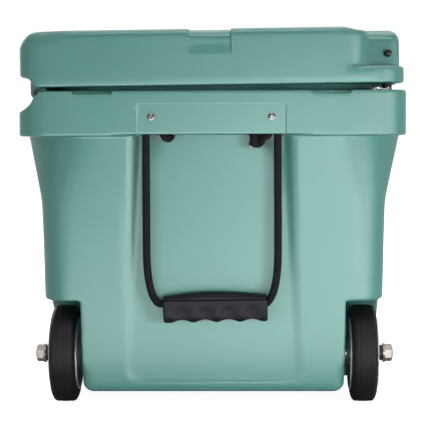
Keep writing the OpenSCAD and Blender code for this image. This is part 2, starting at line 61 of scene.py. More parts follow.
def node_box(name):
    """Lowest and highest corner of a CAD node, in millimetres."""
    low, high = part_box(name)
    return np.array(low) / MM, np.array(high) / MM


# ---------------------------------------------------------------- camera

CAMERA_AWAY = 2.270
CAMERA_HEIGHT = 0.3585
CAMERA_TURN = math.radians(1.4)
CAMERA_DOWN = math.radians(3.48)
CAMERA_ROLL = math.radians(-0.25)
CAMERA_SIDE = -0.0052

camera = bpy.data.objects.new("camera", bpy.data.cameras.new("camera"))
camera.data.lens = 130.4
camera.data.sensor_width = 36
camera.data.clip_end = 60
across = Vector((math.cos(CAMERA_TURN), math.sin(CAMERA_TURN), 0))
heading = Vector((-math.sin(CAMERA_TURN), math.cos(CAMERA_TURN), 0))
camera.location = -CAMERA_AWAY * heading + CAMERA_SIDE * across + Vector((0, 0, CAMERA_HEIGHT))
sight = heading * math.cos(CAMERA_DOWN) - Vector((0, 0, math.sin(CAMERA_DOWN)))
camera.rotation_mode = "QUATERNION"
camera.rotation_quaternion = (
    sight.to_track_quat("-Z", "Y") @ Matrix.Rotation(CAMERA_ROLL, 3, "Z").to_quaternion()
)
scene.collection.objects.link(camera)
scene.camera = camera

# ---------------------------------------------------------------- materials


def new_material(name):
    m = bpy.data.materials.new(name)
    m.use_nodes = True
    return m, m.node_tree.nodes, m.node_tree.links, m.node_tree.nodes["Principled BSDF"]


def noise(tree_nodes, links, place, scale, detail=3.0):
    n = tree_nodes.new("ShaderNodeTexNoise")
    n.inputs["Scale"].default_value = scale
    n.inputs["Detail"].default_value = detail
    links.new(place, n.inputs["Vector"])
    return n.outputs["Fac"]


def remap(tree_nodes, links, value, low, high):
    r = tree_nodes.new("ShaderNodeMapRange")
    r.inputs["From Min"].default_value = 0.2
    r.inputs["From Max"].default_value = 0.8
    r.inputs["To Min"].default_value = low
    r.inputs["To Max"].default_value = high
    links.new(value, r.inputs["Value"])
    return r.outputs["Result"]


def surface(name, dark, light, rough, bumps, mottle=12.0, metallic=0.0, specular=0.5):
    """Material whose colour drifts between two tones, with fine relief.

    bumps lists (scale, depth in metres, detail) for each size of relief.
    """
    m, n, links, shader = new_material(name)
    place = n.new("ShaderNodeTexCoord").outputs["Object"]
    mix = n.new("ShaderNodeMix")
    mix.data_type = "RGBA"
    mix.inputs["A"].default_value = (*dark, 1)
    mix.inputs["B"].default_value = (*light, 1)
    links.new(remap(n, links, noise(n, links, place, mottle), 0, 1), mix.inputs["Factor"])
    links.new(mix.outputs["Result"], shader.inputs["Base Color"])
    links.new(remap(n, links, noise(n, links, place, mottle * 9), *rough), shader.inputs["Roughness"])
    shader.inputs["Metallic"].default_value = metallic
    shader.inputs["Specular IOR Level"].default_value = specular
    last = None
    for scale, depth, detail in bumps:
        b = n.new("ShaderNodeBump")
        b.inputs["Strength"].default_value = 1.0
        b.inputs["Distance"].default_value = depth
        links.new(noise(n, links, place, scale, detail), b.inputs["Height"])
        if last is not None:
            links.new(last, b.inputs["Normal"])
        last = b.outputs["Normal"]
    links.new(last, shader.inputs["Normal"])
    return m


shell_plastic = surface(
    "shell_plastic", (0.080, 0.257, 0.226), (0.090, 0.277, 0.245), (0.29, 0.33),
    [(200, 0.00008, 2), (1500, 0.00003, 2)], mottle=9, specular=0.7,
)
seal_rubber = surface(
    "seal_rubber", (0.020, 0.095, 0.085), (0.028, 0.120, 0.108), (0.5, 0.65),
    [(1200, 0.00010, 3)], mottle=30, specular=0.3,
)
screw_steel = surface(
    "screw_steel", (0.16, 0.15, 0.16), (0.26, 0.25, 0.26), (0.16, 0.26),
    [(1800, 0.00003, 3)], mottle=200, metallic=1.0,
)
black_steel = surface(
    "black_steel", (0.030, 0.026, 0.030), (0.055, 0.050, 0.056), (0.18, 0.28),
    [(1800, 0.00003, 3)], mottle=200, metallic=1.0,
)
foam_inside = surface(
    "foam_inside", (0.72, 0.66, 0.47), (0.80, 0.75, 0.56), (0.8, 0.95), [(900, 0.0006, 4)],
)
bright_steel = surface(
    "bright_steel", (0.62, 0.62, 0.64), (0.72, 0.72, 0.74), (0.14, 0.26),
    [(1500, 0.00002, 3)], metallic=1.0,
)
zinc_steel = surface(
    "zinc_steel", (0.25, 0.22, 0.20), (0.42, 0.38, 0.36), (0.24, 0.42),
    [(1200, 0.00005, 4)], mottle=60, metallic=1.0,
)
brass = surface(
    "brass", (0.62, 0.44, 0.16), (0.70, 0.52, 0.22), (0.25, 0.4), [(1500, 0.00003, 3)], metallic=1.0,
)
rope_yarn = surface(
    "rope_yarn", (0.0035, 0.0035, 0.0045), (0.007, 0.007, 0.009), (0.62, 0.8),
    [(3800, 0.00018, 3)], mottle=240, specular=0.12,
)
melted_end = surface(
    "melted_end", (0.34, 0.32, 0.36), (0.46, 0.44, 0.47), (0.4, 0.6), [(900, 0.0003, 3)],
)
black_plastic = surface(
    "black_plastic", (0.008, 0.007, 0.009), (0.013, 0.012, 0.015), (0.38, 0.52),
    [(2400, 0.00008, 3)], mottle=40,
)
grip_plastic = surface(
    "grip_plastic", (0.004, 0.0035, 0.006), (0.007, 0.006, 0.010), (0.46, 0.60),
    [(2000, 0.00010, 3)], mottle=30, specular=0.2,
)
black_rubber = surface(
    "black_rubber", (0.008, 0.0075, 0.009), (0.014, 0.013, 0.016), (0.5, 0.66),
    [(1500, 0.00012, 3)], mottle=40,
)
tyre_rubber = surface(
    "tyre_rubber", (0.0045, 0.0035, 0.0045), (0.009, 0.007, 0.009), (0.48, 0.66),
    [(700, 0.0003, 4), (2600, 0.00012, 3)], mottle=30, specular=0.3,
)
hub_plastic = surface(
    "hub_plastic", (0.52, 0.54, 0.54), (0.62, 0.64, 0.64), (0.4, 0.55),
    [(1400, 0.00008, 3)], mottle=30,
)

# ---------------------------------------------------------------- distances


def join(a, b, r):
    """Union of two shapes with a fillet of radius r."""
    return np.maximum(r, np.minimum(a, b)) - np.hypot(np.maximum(r - a, 0), np.maximum(r - b, 0))


def meet(a, b, r):
    """Common part of two shapes with its edge rounded to radius r."""
    return np.minimum(-r, np.maximum(a, b)) + np.hypot(np.maximum(r + a, 0), np.maximum(r + b, 0))


def cut(a, b, r):
    """Shape a less shape b, with the edge rounded to radius r."""
    return meet(a, -b, r)


def plan(x, y, half_x, half_y, corner):
    """Rounded rectangle about the middle."""
    across_x = np.abs(x) - (half_x - corner)
    across_y = np.abs(y) - (half_y - corner)
    outside = np.hypot(np.maximum(across_x, 0), np.maximum(across_y, 0))
    return outside + np.minimum(np.maximum(across_x, across_y), 0) - corner


def between(v, low, high):
    """Slab from low to high."""
    return np.abs(v - (low + high) / 2) - (high - low) / 2


def bend(z, z0, below, above, value, soft=8):
    """Value that changes with z at one rate below z0 and at another above it."""
    t = z - z0
    return value + below * t + (above - below) * 0.5 * (t + np.sqrt(t * t + soft * soft))


def ease(t):
    """Smooth rise from 0 to 1 as t goes from 0 to 1."""
    t = np.clip(t, 0, 1)
    return t * t * (3 - 2 * t)


def steps(spans, mirrored=False):
    """Places to sample along an axis: spans lists (start, end, step); mirrored repeats them below 0."""
    runs = [np.linspace(a, b, max(2, round((b - a) / h) + 1)) for a, b, h in spans]
    places = np.unique(np.round(np.concatenate(runs), 6))
    return np.unique(np.concatenate([-places, places])) if mirrored else places


def even(low, high, step, spare=2):
    """Even places from low to high, and a few steps past each."""
    return steps([(low - spare * step, high + spare * step, step)])


def gradient(shape, p):
    """Slope of the distance `shape` at points p."""
    gap = 0.02
    slope = np.empty_like(p)
    for i in range(3):
        ahead, behind = p.copy(), p.copy()
        ahead[:, i] += gap
        behind[:, i] -= gap
        slope[:, i] = (shape(*ahead.T) - shape(*behind.T)) / (2 * gap)
    return slope


def add_mesh(name, points, faces, material, normals=None):
    mesh = bpy.data.meshes.new(name)
    mesh.from_pydata(points * MM, [], faces)
    mesh.materials.append(material)
    mesh.shade_smooth()
    if normals is not None:
        mesh.normals_split_custom_set_from_vertices(normals)
    obj = bpy.data.objects.new(name, mesh)
    scene.collection.objects.link(obj)
    return obj


# Distances are cut off at FAR, and flat places get fewer, larger faces as ADAPTIVITY grows
FAR = 20.0
ADAPTIVITY = 0.01


def solid(name, shape, grid, material, place=None):
    """Mesh of the surface where the distance `shape` is zero, sampled on a grid and moved onto it."""
    x, y, z = grid

    def layer(rows):
        values = shape(x[:, None, None], y[None, :, None], z[None, None, rows])
        values = np.broadcast_to(values, (len(x), len(y), len(rows)))
        return np.clip(values, -FAR, FAR).astype(np.float32)

    with ThreadPoolExecutor(4) as pool:
        values = np.concatenate(list(pool.map(layer, np.array_split(np.arange(len(z)), 8))), axis=2)
    field = openvdb.FloatGrid(FAR)
    field.copyFromArray(values, tolerance=0.0)
    points, triangles, quads = field.convertToPolygons(0.0, ADAPTIVITY)
    p = np.stack([np.interp(points[:, i], np.arange(len(a)), a) for i, a in enumerate(grid)], axis=1)
    for _ in range(4):
        slope = gradient(shape, p)
        size = np.maximum((slope ** 2).sum(axis=1), 0.05)
        p -= slope * np.clip(shape(*p.T) / size, -1.5, 1.5)[:, None]
    slope = gradient(shape, p)
    normals = slope / np.maximum(np.linalg.norm(slope, axis=1), 1e-6)[:, None]
    faces = [q[::-1] for q in quads.tolist()] + [t[::-1] for t in triangles.tolist()]
    first = np.array([f[:3] for f in faces])
    turned = np.cross(p[first[:, 1]] - p[first[:, 0]], p[first[:, 2]] - p[first[:, 0]])
    if (turned * normals[first[:, 0]]).sum() < 0:
        faces = [f[::-1] for f in faces]
    if place is not None:
        p, normals = place(p), place(normals, True)
    return add_mesh(name, p, faces, material, normals)


def lathe(name, profile, centre, axis, material, turns=96):
    """Ring swept round an axis: profile lists (radius, place along the axis), and closes on itself."""
    profile = np.array(profile, float)
    count = len(profile)
    angles = np.linspace(0, 2 * np.pi, turns, endpoint=False)
    points = np.empty((turns, count, 3))
    others = [i for i in range(3) if i != axis]
    for k, a in enumerate(angles):
        points[k, :, axis] = profile[:, 1]
        points[k, :, others[0]] = centre[others[0]] + profile[:, 0] * math.cos(a)
        points[k, :, others[1]] = centre[others[1]] + profile[:, 0] * math.sin(a)
    faces = []
    for k in range(turns):
        after = (k + 1) % turns
        for i in range(count):
            j = (i + 1) % count
            faces.append((k * count + i, k * count + j, after * count + j, after * count + i))
    return add_mesh(name, points.reshape(-1, 3), faces, material)


def show(obj, body, slot, *replaced):
    """Puts a piece on a body, in place of the CAD nodes named; the finish named by slot is not used."""
    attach(obj, body)
    if replaced:
        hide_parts(*replaced)
    return obj


# ---------------------------------------------------------------- ropes

ROPE_R = 4.75
ROPE_Y = 357
ROPE_STEP = 0.9
LEG_X = 81
GRIP_ROPE_Z = 132.6
# Half of the rope's route, from inside the rim, down the leg and into the grip: x, |y|, z
ROPE_ROUTE = [
    (LEG_X, ROPE_Y, 348), (LEG_X, ROPE_Y, 325.5), (LEG_X, ROPE_Y, 300), (LEG_X, ROPE_Y + 0.5, 270),
    (LEG_X, ROPE_Y + 1, 240), (LEG_X, ROPE_Y + 1.5, 210), (LEG_X - 0.3, ROPE_Y + 2, 185),
    (LEG_X - 2, ROPE_Y + 2, 165), (LEG_X - 5, ROPE_Y + 2, 150), (LEG_X - 8.5, ROPE_Y + 2, 141),
    (68, ROPE_Y + 2, 134.6), (63.5, ROPE_Y + 2, GRIP_ROPE_Z), (54, ROPE_Y + 2, GRIP_ROPE_Z),
    (30, ROPE_Y + 2, GRIP_ROPE_Z), (0, ROPE_Y + 2, GRIP_ROPE_Z),
]
# Fixed end of the rope, from the knot over the screw and down into the rim's lower edge
END_ROUTE = [
    (60, ROPE_Y, 345), (65.5, ROPE_Y, 352.5), (65.7, ROPE_Y, 362.7), (68, ROPE_Y, 368.3),
    (73.6, ROPE_Y, 370.6), (79.2, ROPE_Y, 368.3), (LEG_X, ROPE_Y, 362.7), (LEG_X, ROPE_Y, 350),
    (LEG_X, ROPE_Y, 341),
]


def centreline(points, step):
    """Smooth curve through points, as places an even step apart."""
    p = np.array(points, float)
    ends = np.vstack([2 * p[0] - p[1], p, 2 * p[-1] - p[-2]])
    curve = []
    for a, b, c, d in zip(ends, ends[1:], ends[2:], ends[3:]):
        for t in np.linspace(0, 1, 24, endpoint=False):
            curve.append(
                0.5 * (2 * b + (c - a) * t + (2 * a - 5 * b + 4 * c - d) * t ** 2
                       + (3 * b - a - 3 * c + d) * t ** 3)
            )
    curve = np.array(curve + [p[-1]])
    along = np.concatenate([[0], np.cumsum(np.linalg.norm(np.diff(curve, axis=0), axis=1))])
    even_places = np.linspace(0, along[-1], max(2, round(along[-1] / step) + 1))
    return np.stack([np.interp(even_places, along, curve[:, i]) for i in range(3)], axis=1)


def braid(name, line, radius, material, strands=8, pitch=17, around=40):
    """Braided rope round a line, with rounded ends."""
    tangent = np.gradient(line, axis=0)
    tangent /= np.linalg.norm(tangent, axis=1)[:, None]
    side = np.cross(tangent[0], (0, 1, 0.01))
    angles = np.linspace(0, 2 * np.pi, around, endpoint=False)
    along = np.concatenate([[0], np.cumsum(np.linalg.norm(np.diff(line, axis=0), axis=1))])
    rings = []
    for i, centre in enumerate(line):
        side = side - tangent[i] * side.dot(tangent[i])
        side /= np.linalg.norm(side)
        up = np.cross(tangent[i], side)
        turn = 2 * np.pi * along[i] / pitch
        weave = np.abs(np.cos(strands * (angles + turn) / 2) * np.cos(strands * (angles - turn) / 2))
        r = radius * (0.91 + 0.12 * np.sqrt(weave))
        to_end = min(along[i], along[-1] - along[i])
        r = r * math.sqrt(1 - (1 - min(to_end / radius, 1)) ** 2 + 0.0004)
        outwards = np.cos(angles)[:, None] * side + np.sin(angles)[:, None] * up
        rings.append(centre + r[:, None] * outwards)
    points = np.concatenate(rings)
    faces = []
    for k in range(len(line) - 1):
        for i in range(around):
            j = (i + 1) % around
            faces.append((k * around + i, k * around + j, (k + 1) * around + j, (k + 1) * around + i))
    faces.append(tuple(range(around))[::-1])
    last = (len(line) - 1) * around
    faces.append(tuple(range(last, last + around)))
    return add_mesh(name, points, faces, material)


def at_end(points, end):
    """Points given with |y| put at the wheel end (-1) or the drain end (1)."""
    return [(x, end * y, z) for x, y, z in points]


# Middle x and z, reach and turn in degrees of the two knots of each handle
KNOTS = [(-56, 346.4, 9.2, 20), (58, 341.0, 10.6, -15)]
# Cut end of the rope below each knot, melted so that it does not fray
CUT_ENDS = [
    [(-56, ROPE_Y - 2, 345), (-61, ROPE_Y, 341), (-66, ROPE_Y + 1.5, 337.6)],
    [(56, ROPE_Y - 2, 338), (51.5, ROPE_Y, 331), (46.2, ROPE_Y + 1.5, 324.4)],
]


def knot_line(x, z, reach, turn):
    """Tight overhand knot: a three-lobed loop that passes over and under itself."""
    line = []
    tilt = math.radians(turn)
    for t in np.linspace(0.25, 2 * np.pi - 0.1, 90):
        u = reach * (math.sin(t) + 2 * math.sin(2 * t)) / 2.6
        v = reach * (math.cos(t) - 2 * math.cos(2 * t)) / 2.6
        line.append((x + u * math.cos(tilt) - v * math.sin(tilt), ROPE_Y + 3.4 * math.sin(3 * t),
                     z + u * math.sin(tilt) + v * math.cos(tilt)))
    return line


ENDS = [("wheel_end", -1), ("drain_end", 1)]
slings, knot_pieces = {}, {}
for end_name, end in ENDS:
    whole = ROPE_ROUTE + [(-x, y, z) for x, y, z in reversed(ROPE_ROUTE[:-1])]
    line = centreline(at_end(whole, end), ROPE_STEP)
    sling = braid(f"{end_name}_sling", line, ROPE_R, rope_yarn)
    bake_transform(sling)
    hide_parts(f"{end_name}_rope")
    slings[end_name] = (sling, line)
    tails = []
    for side in (-1, 1):
        tail = centreline(at_end([(side * x, y, z) for x, y, z in END_ROUTE], end), ROPE_STEP)
        tails.append(braid(f"{end_name}_tail_{len(tails)}", tail, ROPE_R, rope_yarn))
    for x, z, reach, turn in KNOTS:
        tied = centreline(at_end(knot_line(x, z, reach, turn), end), 0.7)
        tails.append(braid(f"{end_name}_tied_{len(tails)}", tied, ROPE_R * 0.97, rope_yarn))
    stubs = []
    for i, route in enumerate(CUT_ENDS):
        stub = centreline(at_end(route, end), 0.6)
        stubs.append(braid(f"{end_name}_stub_{i}", stub[:-3], ROPE_R * 0.95, rope_yarn))
        stubs.append(braid(f"{end_name}_melt_{i}", stub[-8:], ROPE_R * 0.8, melted_end))
    for obj in stubs:
        show(obj, "tub", "braided_rope")
    for obj in tails[:2]:
        show(obj, "tub", "braided_rope", f"{end_name}_rope_ends")
    for obj in tails[2:]:
        show(obj, "tub", "braided_rope", f"{end_name}_knots")
    knot_pieces[end_name] = tails + stubs

# ---------------------------------------------------------------- hinge

HINGE_X, HINGE_Z = -216, 393.6
KNUCKLE_R, KNUCKLE_GAP = 9.5, 0.8
KNUCKLE_ENDS = [-335, -235, -75, 75, 235, 335]
LID_KNUCKLES, TUB_KNUCKLES = (0, 2, 4), (1, 3)
PIN_HOLE_R = 4.1
LID_REST = math.radians(0.55)


def tilt_lid(points, turn_only=False):
    """Takes the lid from where it is shut to where it rests on its gasket."""
    pivot = np.zeros(3) if turn_only else np.array([HINGE_X, 0, HINGE_Z])
    c, s = math.cos(LID_REST), math.sin(LID_REST)
    moved = points - pivot
    return np.stack([moved[:, 0] * c - moved[:, 2] * s, moved[:, 1],
                     moved[:, 0] * s + moved[:, 2] * c], axis=1) + pivot


def pin_hole(x, z):
    return np.hypot(x - HINGE_X, z - HINGE_Z) - PIN_HOLE_R


def knuckle(x, y, z, i, radius, gap):
    """One knuckle of the hinge, number i along it."""
    barrel = np.hypot(x - HINGE_X, z - HINGE_Z) - radius
    return np.maximum(barrel, between(y, KNUCKLE_ENDS[i] + gap, KNUCKLE_ENDS[i + 1] - gap))


# ---------------------------------------------------------------- tub

RIM_X, RIM_Y, RIM_R = 240, 370, 40
RIM_TOP, RIM_Z, BASE_Z, FLOOR_Z = 395, 339.5, 19.8, 70
FLARE_Z, BODY_X, BODY_Y, BODY_R = 257, 215.4, 350.5, 41
RECESS_Y = 344
AXLE_Y, AXLE_Z = -290, 61.5
WELL_R = 72.5
LATCH_Y = 263
SCREW_X, SCREW_Z = 73.6, 362.7
DRAIN_Z, DRAIN_R, DRAIN_IN = 80, 16, 280
FOOT_X, FOOT_Y, FOOT_HALF_X, FOOT_HALF_Y = 150, 290, 42, 28
PANEL_X, PANEL_TOP, PANEL_DEPTH = 90.8, 379, 1.5
POCKET_X, POCKET_Y, POCKET_TOP = 88, 366, 375
NOTCH_X, NOTCH_HALF, NOTCH_FLOOR, NOTCH_IN = 146, 24.5, 391, 352
PLUG_X, PLUG_Y, PLUG_R = 120, 60, 18
WELL_IN = 163
CAVITY_X, CAVITY_Y, CAVITY_R = 190, 316, 42
STEP_Y, STEP_Z = -183, 168
SUMP_R, SUMP_ENDS = 24, (262, 296.5)
CHANNEL_IN, CHANNEL_HALF = 209, 31


def flat_end(z):
    """How far out the body's flat ends are."""
    return bend(z, FLARE_Z, 0.0221, 0.0186, BODY_Y)


def body_shape(x, y, z):
    """Flared body below the rim: its flat ends meet its sides in a soft crease."""
    half_x = bend(z, FLARE_Z, 0.020, 0.274, BODY_X)
    arc_y = bend(z, FLARE_Z, 0.0221, 0.0435, BODY_Y)
    corner = bend(z, FLARE_Z, 0.0133, 0.733, BODY_R)
    sides = meet(plan(x, y, half_x, arc_y, corner), np.abs(y) - flat_end(z), 3.5)
    return meet(meet(sides, BASE_Z - z, 10), z - RIM_Z - 12, 1)


def rim_shape(x, y, z):
    band = plan(x, y, RIM_X, RIM_Y, RIM_R)
    return meet(meet(band, z - RIM_TOP, 3.5), RIM_Z - z, 3)


def cavity_shape(x, y, z):
    """Inside of the tub, with the step over the axle and the sump at the drain."""
    draft = 18 * (400 - z) / 322
    walls = plan(x, y, CAVITY_X - draft, CAVITY_Y - draft, CAVITY_R - draft / 3)
    room = meet(walls, FLOOR_Z - z, 10)
    room = cut(room, np.maximum(y - STEP_Y, z - STEP_Z), 9)
    sump = np.maximum(np.hypot(x, z - DRAIN_Z) - SUMP_R, between(y, *SUMP_ENDS))
    return join(room, sump, 2)


def recess_shape(x, y, z):
    """Shallow hollow in each end that the handle hangs in."""
    half = 101 + (334 - z) * 0.0254
    wall = (np.abs(x) - half + 1.2 * (flat_end(z) - np.abs(y))) / 1.56
    hollow = meet(wall, 35 - z, 14)
    return meet(hollow, np.maximum(RECESS_Y - np.abs(y), z - RIM_Z - 1), 3)


def well_shape(x, y, z):
    """Wheel well: an arch round the wheel, open to the end."""
    arch = np.hypot(np.maximum(y - AXLE_Y, 0), z - AXLE_Z) - WELL_R
    wall = WELL_IN + 5.5 * z / RIM_Z - np.abs(x)
    return meet(arch, wall, 4)


def tub_shape(x, y, z):
    ay = np.abs(y)
    ax = np.abs(x)
    tub = join(body_shape(x, y, z), rim_shape(x, y, z), 3)
    # Panel round the handle's screws, deeper towards the rim's lower edge
    panel_y = RIM_Y - PANEL_DEPTH * np.clip((PANEL_TOP - z) / (PANEL_TOP - RIM_Z), 0, 1.1)
    panel = meet(ax - PANEL_X, panel_y - ay, 0.8)
    tub = cut(tub, np.maximum(panel, z - PANEL_TOP), 0.8)
    # Room for the rope behind the panel, and the hollow below it
    pocket_back = np.maximum(RECESS_Y + 3 - ay, z - POCKET_TOP)
    pocket = meet(meet(ax - POCKET_X, ay - POCKET_Y, 3), pocket_back, 3)
    tub = cut(tub, np.maximum(pocket, RIM_Z - 6 - z), 1)
    tub = cut(tub, recess_shape(x, y, z), 4)
    # Two shallow notches in the rim's top edge
    notch = np.abs(ax - NOTCH_X) - NOTCH_HALF - (z - RIM_TOP) * 0.35
    notch = np.maximum(notch, np.maximum(NOTCH_FLOOR - z, NOTCH_IN - ay))
    tub = cut(tub, notch, 1.2)
    # The well's lower inner corner is rounder than its ceiling's edge
    tub = cut(tub, well_shape(x, y, z), 4 + 9.5 * ease((62 - z) / 26))
    # Seats of the two fill plugs in the base, and the feet at the drain end
    for plug_x in (-PLUG_X, PLUG_X):
        tub = cut(tub, np.maximum(np.hypot(x - plug_x, y - PLUG_Y) - PLUG_R, z - 23), 1)
    foot = plan(ax - FOOT_X, y - FOOT_Y, FOOT_HALF_X, FOOT_HALF_Y, 12)
    tub = join(tub, np.maximum(foot, between(z, 6, 40)), 4)
    # Relief along the hinge, and the round room for the lid's knuckles
    # Each is a sloping plane, given by the direction it faces and a place on it
    slope = -(-0.892 * (x - HINGE_X - 1.9) + 0.452 * (z - RIM_TOP))
    shelf = -(-0.347 * (x + 240) + 0.938 * (z - 370))
    tub = cut(tub, meet(slope, shelf, 6), 1.5)
    for i in LID_KNUCKLES:
        tub = cut(tub, knuckle(x, y, z, i, KNUCKLE_R + KNUCKLE_GAP, 0), 0.8)
    for i in TUB_KNUCKLES:
        post = np.maximum(np.maximum(between(z, 372, HINGE_Z), np.abs(x - HINGE_X) - KNUCKLE_R),
                          between(y, KNUCKLE_ENDS[i] + 0.5, KNUCKLE_ENDS[i + 1] - 0.5))
        tub = join(tub, np.minimum(post, knuckle(x, y, z, i, KNUCKLE_R, 0.5)), 0.6)
    # Channels that the latches lie in, then the inside and the drain's hole
    channel = meet(CHANNEL_IN - x, np.abs(ay - LATCH_Y) - CHANNEL_HALF, 3)
    tub = cut(tub, np.maximum(channel, RIM_Z - z), 1)
    tub = cut(tub, cavity_shape(x, y, z), 5)
    drain = np.maximum(np.hypot(x, z - DRAIN_Z) - DRAIN_R, DRAIN_IN - y)
    tub = np.maximum(tub, -drain)
    return np.maximum(tub, -pin_hole(x, z))


tub_grid = (
    steps([(0, 84, 5.5), (84, 96, 1.3), (96, 118, 2.4), (118, 124, 1.3), (124, 156, 4),
           (156, 176, 1.6), (176, 200, 3.5), (200, 245, 1.6)], mirrored=True),
    steps([(0, 225, 6), (225, 300, 2.8), (300, 336, 3.5), (336, 375, 1.3)], mirrored=True),
    steps([(3, 42, 2.2), (42, 128, 3.8), (128, 142, 2), (142, 330, 4.5), (330, 400, 1.3)]),
)
show(solid("tub_shell", tub_shape, tub_grid, shell_plastic), "tub", "shell_plastic", "tub_skin")

# ---------------------------------------------------------------- lid

LID_Z = 399.6
LEDGE_Z = LID_Z + 20
BORDER_Z = 464.3
PLATEAU = 3.7
LATCH_PIVOT = (219, 437)
LID_BACK, MAIN_FRONT, LID_FRONT, EAR_FRONT = -237, 193, 237, 234
EAR_Y = 315
LID_CHANNEL_IN, LID_CHANNEL_HALF = 208, 30
STRAP_X, STRAP_HALF, STRAP_DEPTH = -1.5, 26.8, 1.5


def block(x, y, low, high, half_y, corner):
    """Rounded rectangle from low to high along x."""
    return plan(x - (low + high) / 2, y, (high - low) / 2, half_y, corner)


def lid_shape(x, y, z):
    ay = np.abs(y)
    top = BORDER_Z + PLATEAU * ease((181.5 - x) / 22) * ease((372 - ay) / 4)
    # Strap channel across the top, which runs over the end and fades out down its face
    strap = ease((STRAP_HALF - np.abs(x - STRAP_X)) / 1.6)
    top = top - STRAP_DEPTH * strap
    down_the_face = ease((z - 436) / 14) * ease((ay - 300) / 20)
    face = block(x, y, LID_BACK, MAIN_FRONT, RIM_Y, 30) + STRAP_DEPTH * strap * down_the_face
    edge = 7.5 + 13 * ease((-170 - x) / 45) + 4 * strap
    lid = meet(face, z - top, edge)
    # The ears' end faces lean in a little towards the top
    ear_y = EAR_Y - 0.09 * (z - LATCH_PIVOT[1])
    ear = meet(block(x, y, MAIN_FRONT - 60, EAR_FRONT, ear_y, 9), z - BORDER_Z - 1.5, 15)
    ledge = meet(block(x, y, LID_FRONT - 100, LID_FRONT, RIM_Y, 38), z - LEDGE_Z, 4)
    lid = join(join(lid, ledge, 3), ear, 3)
    lid = meet(lid, LID_Z - z, 3)
    lower = meet(plan(x, y, 184, 310, 36), LID_Z - 14 - z, 4)
    lid = join(lid, np.maximum(lower, z - LID_Z - 8), 2)
    # Underside of the hinge flange
    steep = 0.857 * (x - HINGE_X + 0.6) + 0.514 * (z - LID_Z)
    flange = 0.13 * (x - HINGE_X + 6.5) + 0.99 * (z - 410.5)
    lid = cut(lid, meet(steep, flange, 4), 4)
    # The middle knuckle has more room beside it
    for i in LID_KNUCKLES:
        gap = 0.5 if i == 2 else 0.25
        stem = np.maximum(np.maximum(between(z, HINGE_Z, 414), np.abs(x - HINGE_X) - KNUCKLE_R),
                          between(y, KNUCKLE_ENDS[i] + gap, KNUCKLE_ENDS[i + 1] - gap))
        lid = join(lid, np.minimum(stem, knuckle(x, y, z, i, KNUCKLE_R, gap)), 0.6)
    for i in TUB_KNUCKLES:
        room = np.minimum(np.hypot(x - HINGE_X, z - HINGE_Z) - KNUCKLE_R - KNUCKLE_GAP,
                          np.maximum(x - HINGE_X, z - 409.8))
        room = np.maximum(room, between(y, KNUCKLE_ENDS[i], KNUCKLE_ENDS[i + 1]))
        lid = cut(lid, room, 0.6)
    channel = meet(LID_CHANNEL_IN - x, np.abs(ay - LATCH_Y) - LID_CHANNEL_HALF, 3)
    lid = cut(lid, channel, 2.5)
    return np.maximum(lid, -pin_hole(x, z))


lid_grid = (
    steps([(-245, -196, 1.5), (-196, -40, 5), (-40, -30, 1.2), (-30, 20, 5), (20, 30, 1.2),
           (30, 140, 5.5), (140, 240, 1.8)]),
    steps([(0, 225, 6), (225, 300, 2.5), (300, 324, 1.8), (324, 340, 2.6), (340, 375, 1.3)],
          mirrored=True),
    steps([(380, 404, 1.4), (404, 424, 1.6), (424, 446, 2.6), (446, 472, 1.1)]),
)
show(solid("lid_shell", lid_shape, lid_grid, shell_plastic, tilt_lid), "lid", "shell_plastic", "lid_skin")

# ---------------------------------------------------------------- latches

LATCH_TOP, LATCH_LOW = LATCH_PIVOT[1], 346
LATCH_IN, LATCH_OUT = 217, 226.5
BARREL_R, BARREL_HALF, LATCH_BORE_R = 8, 29, 3.05
BAR_OUT, BAR_HALF, BAR_H = 237.6, 28, 20
FINGER_PLACE, FINGER_HOLLOW_R, FINGER_HOLLOW_HALF = (242, 352), 11, 22
NIB_IN, NIB_HALF, NIB_Z = 215.3, 17, (370, 375)
RIB_Y, RIB_OUT, RIB_Z = 9, 227.6, (372, 424)


def latch_shape(x, y, z):
    """Rubber latch: barrel on its pin, ribbed strap, thick pull bar and the nib that catches."""
    from_pivot = np.hypot(x - LATCH_PIVOT[0], z - LATCH_PIVOT[1])
    barrel = meet(from_pivot - BARREL_R, np.abs(y) - BARREL_HALF, 1)
    width = 19 - 2.5 * ease((z - 380) / 30) + 3 * ease((z - 415) / 20)
    strap = meet(meet(between(x, LATCH_IN, LATCH_OUT), np.abs(y) - width, 2.5),
                 between(z, LATCH_LOW + 10, LATCH_TOP), 2)
    bar = meet(meet(between(x, LATCH_IN, BAR_OUT), np.abs(y) - BAR_HALF, 6),
               between(z, LATCH_LOW, LATCH_LOW + BAR_H), 5)
    finger = np.hypot(x - FINGER_PLACE[0], z - FINGER_PLACE[1]) - FINGER_HOLLOW_R
    finger = np.maximum(finger, np.abs(y) - FINGER_HOLLOW_HALF)
    latch = join(join(barrel, strap, 3), cut(bar, finger, 2), 4)
    nib = meet(between(x, NIB_IN, LATCH_IN + 2), between(z, *NIB_Z), 1)
    latch = join(latch, np.maximum(nib, np.abs(y) - NIB_HALF), 0.8)
    rib = meet(np.abs(np.abs(y) - RIB_Y) - 1.6, between(x, LATCH_OUT - 2.5, RIB_OUT), 0.8)
    latch = join(latch, np.maximum(rib, between(z, *RIB_Z)), 1)
    return np.maximum(latch, -(from_pivot - LATCH_BORE_R))


def latch_place(end):
    """Takes a latch from the middle of the shut lid to one end of the resting one."""
    def place(points, turn_only=False):
        moved = tilt_lid(points, turn_only)
        return moved if turn_only else moved + np.array([0, end * LATCH_Y, 0])
    return place


